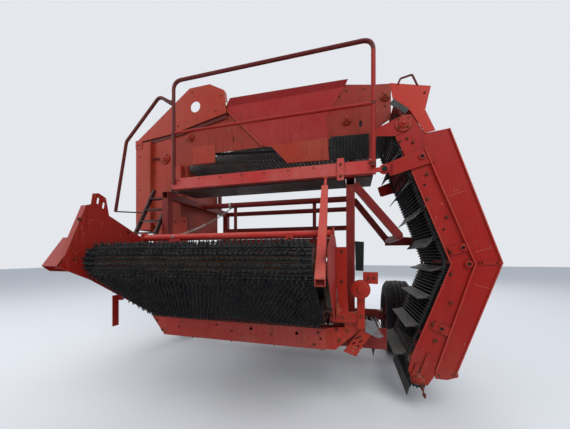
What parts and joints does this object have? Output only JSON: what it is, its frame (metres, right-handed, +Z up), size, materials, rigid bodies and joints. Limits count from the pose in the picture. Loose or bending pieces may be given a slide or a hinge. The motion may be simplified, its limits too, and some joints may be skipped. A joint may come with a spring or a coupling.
{
  "type": "trailed onion harvester",
  "caption": "Trailed onion harvester with rod webs, a steep finger web at the rear, a C-shaped flight elevator, a sorting table and a platform.",
  "frame": {"origin": "on the ground below the centre of the overall length and width", "axes": "+X to the right seen from behind, +Y forward in the direction of travel, +Z up"},
  "size_m": [3.59, 5.898, 3.112],
  "materials": {
    "frame_red": "faded and dusty, rust at edges",
    "cheek_red": "satin, scratched",
    "tube_red": "faded",
    "beam_red": "chalky, faded",
    "platform_red": "chalky, pinkish",
    "corner_orange": "satin",
    "elevator_red": "satin, worn edges",
    "hood_red": "satin",
    "hopper_red": "satin, brown below",
    "table_brown": "faded orange brown",
    "tower_brown": "faded orange brown, rust spots",
    "rail_dark": "worn dark red brown",
    "ladder_dark": "dark, dusty",
    "rim_red": "satin",
    "gearbox_grey": "matte",
    "roller_steel": "dull",
    "bare_steel": "worn, rusty",
    "jack_zinc": "zinc plated",
    "chrome_rod": "polished, dusty",
    "web_rubber": "matte, dusty",
    "flight_rubber": "matte, dusty",
    "finger_rubber": "matte",
    "tyre_black": "matte, dusty"
  },
  "bodies": {
    "chassis": {"axle": "frame_red", "bed_rollers": "roller_steel", "corner_right": "corner_orange", "cross_frame": "frame_red", "cross_rollers": "roller_steel", "cross_web": "web_rubber", "drawbar": "frame_red", "elevator_hood": "hood_red", "elevator_rollers": "roller_steel", "elevator_side_front": "elevator_red", "elevator_side_rear": "elevator_red", "elevator_web": "flight_rubber", "finger_cheek_left": "cheek_red", "finger_cheek_right": "cheek_red", "finger_web": "finger_rubber", "gearbox": "gearbox_grey", "handrail": "rail_dark", "hopper": "hopper_red", "ladder": "ladder_dark", "main_frame": "frame_red", "main_web": "web_rubber", "platform": "platform_red", "rear_beam": "beam_red", "rear_cross_tube": "tube_red", "strut_right": "tube_red", "table_frame": "table_brown", "table_rollers": "roller_steel", "table_web": "web_rubber", "tower_frame": "tower_brown", "tower_hood": "tower_brown", "upper_frame": "frame_red", "web_cheeks": "cheek_red"},
    "eye_body": {"hitch_eye": "bare_steel"},
    "lift_barrel_body": {"lift_barrels": "frame_red"},
    "lift_rod_body": {"lift_rods": "chrome_rod"},
    "jack_leg_body": {"jack_leg": "jack_zinc"},
    "intake": {"intake_frame": "frame_red", "share": "bare_steel"},
    "coulter_l": {"coulter_left": "bare_steel"},
    "coulter_r": {"coulter_right": "bare_steel"},
    "roller": {"depth_roller": "frame_red"},
    "wheel_left": {"rim_left": "rim_red", "tyre_left": "tyre_black"},
    "wheel_right": {"rim_right": "rim_red", "tyre_right": "tyre_black"}
  },
  "joints": [
    {"name": "wheel_left_turn", "type": "hinge", "parent": "chassis", "child": "wheel_left", "pos_m": [-1.641, -0.605, 0.4445], "axis": [1, 0, 0], "continuous": true},
    {"name": "wheel_right_turn", "type": "hinge", "parent": "chassis", "child": "wheel_right", "pos_m": [1.289, -0.605, 0.4445], "axis": [1, 0, 0], "continuous": true},
    {"name": "eye_swivel", "type": "hinge", "parent": "chassis", "child": "eye_body", "pos_m": [-0.176, 2.68, 0.58], "axis": [0, 1, 0], "range_deg": [-30, 30]},
    {"name": "jack_slide", "type": "slide", "parent": "chassis", "child": "jack_leg_body", "axis": [0, 0, 1], "range_m": [0, 0.35]},
    {"name": "intake_lift", "type": "hinge", "parent": "chassis", "child": "intake", "pos_m": [-0.176, 1.48, 0.7], "axis": [1, 0, 0], "range_deg": [0, 8]},
    {"name": "coulter_left_turn", "type": "hinge", "parent": "intake", "child": "coulter_l", "pos_m": [-0.955, 1.79, 0.24], "axis": [1, 0, 0], "continuous": true},
    {"name": "coulter_right_turn", "type": "hinge", "parent": "intake", "child": "coulter_r", "pos_m": [0.603, 1.79, 0.24], "axis": [1, 0, 0], "continuous": true},
    {"name": "roller_turn", "type": "hinge", "parent": "intake", "child": "roller", "pos_m": [-0.176, 2.19, 0.175], "axis": [1, 0, 0], "continuous": true},
    {"name": "barrel_tilt", "type": "hinge", "parent": "chassis", "child": "lift_barrel_body", "pos_m": [-0.176, 0.96, 0.965], "axis": [1, 0, 0], "range_deg": [0, 0.17]},
    {"name": "rod_slide", "type": "slide", "parent": "lift_barrel_body", "child": "lift_rod_body", "axis": [0, 0.9993, 0.037], "range_m": [-0.03983, 0]}
  ],
  "couplings": [
    {"joint": "barrel_tilt", "follows": "intake_lift", "ratio": 0.02125},
    {"joint": "rod_slide", "follows": "intake_lift", "m_per_rad": -0.28525}
  ]
}
